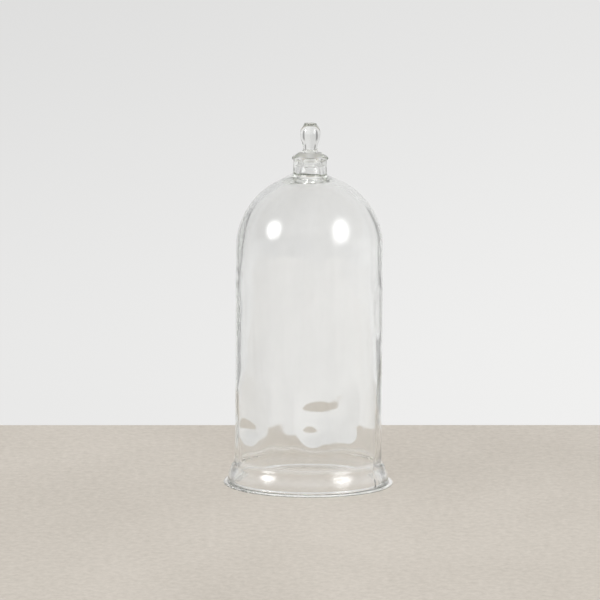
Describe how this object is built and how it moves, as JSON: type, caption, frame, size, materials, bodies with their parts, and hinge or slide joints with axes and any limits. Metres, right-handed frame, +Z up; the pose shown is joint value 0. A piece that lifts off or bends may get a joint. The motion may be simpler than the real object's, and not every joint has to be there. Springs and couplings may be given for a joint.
{
  "type": "bell jar",
  "caption": "Tall clear glass bell jar with a domed crown, a lipped neck, a moulded foot with a ground rim, and a lift-out glass knob stopper ground into the neck.",
  "frame": {"origin": "centre of the ground rim that the bell stands on, at table height", "axes": "+Z up along the bell's axis to the knob; +X to the right and +Y away from the viewer, the bell being round about +Z"},
  "size_m": [0.1912, 0.1912, 0.41],
  "materials": {
    "bell_glass": "clear hand-blown glass with a faint grey-green tint, polished, ground flat under the rim",
    "stopper_glass": "clear solid glass with a faint grey-green tint, polished knob, ground plug"
  },
  "bodies": {
    "bell_body": {"bell": "bell_glass"},
    "stopper_body": {"stopper": "stopper_glass"}
  },
  "joints": [
    {"name": "stopper_lift", "type": "slide", "parent": "bell_body", "child": "stopper_body", "axis": [0, 0, 1], "range_m": [0, 0.06]}
  ]
}
